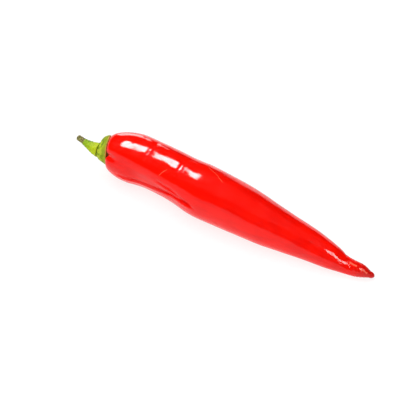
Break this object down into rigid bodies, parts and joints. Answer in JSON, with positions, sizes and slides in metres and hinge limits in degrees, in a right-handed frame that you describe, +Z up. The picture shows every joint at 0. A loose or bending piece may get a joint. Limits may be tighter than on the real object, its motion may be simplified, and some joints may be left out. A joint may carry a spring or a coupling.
{
  "type": "chilli pepper",
  "caption": "Long red chilli pepper with a green calyx and stem, lying on its side, with a blunt shoulder and a pointed tip.",
  "frame": {"origin": "under the middle of the whole chilli's box, on the surface that it lies on", "axes": "+X from the stem's end to the pod's tip, +Z up off the surface, +Y to the chilli's left seen from the stem"},
  "size_m": [0.1388, 0.025, 0.0224],
  "materials": {
    "pod": "waxy gloss",
    "calyx": "satin",
    "stem": "satin"
  },
  "bodies": {
    "root": {"pod": "pod", "calyx": "calyx", "stem": "stem"}
  },
  "joints": []
}
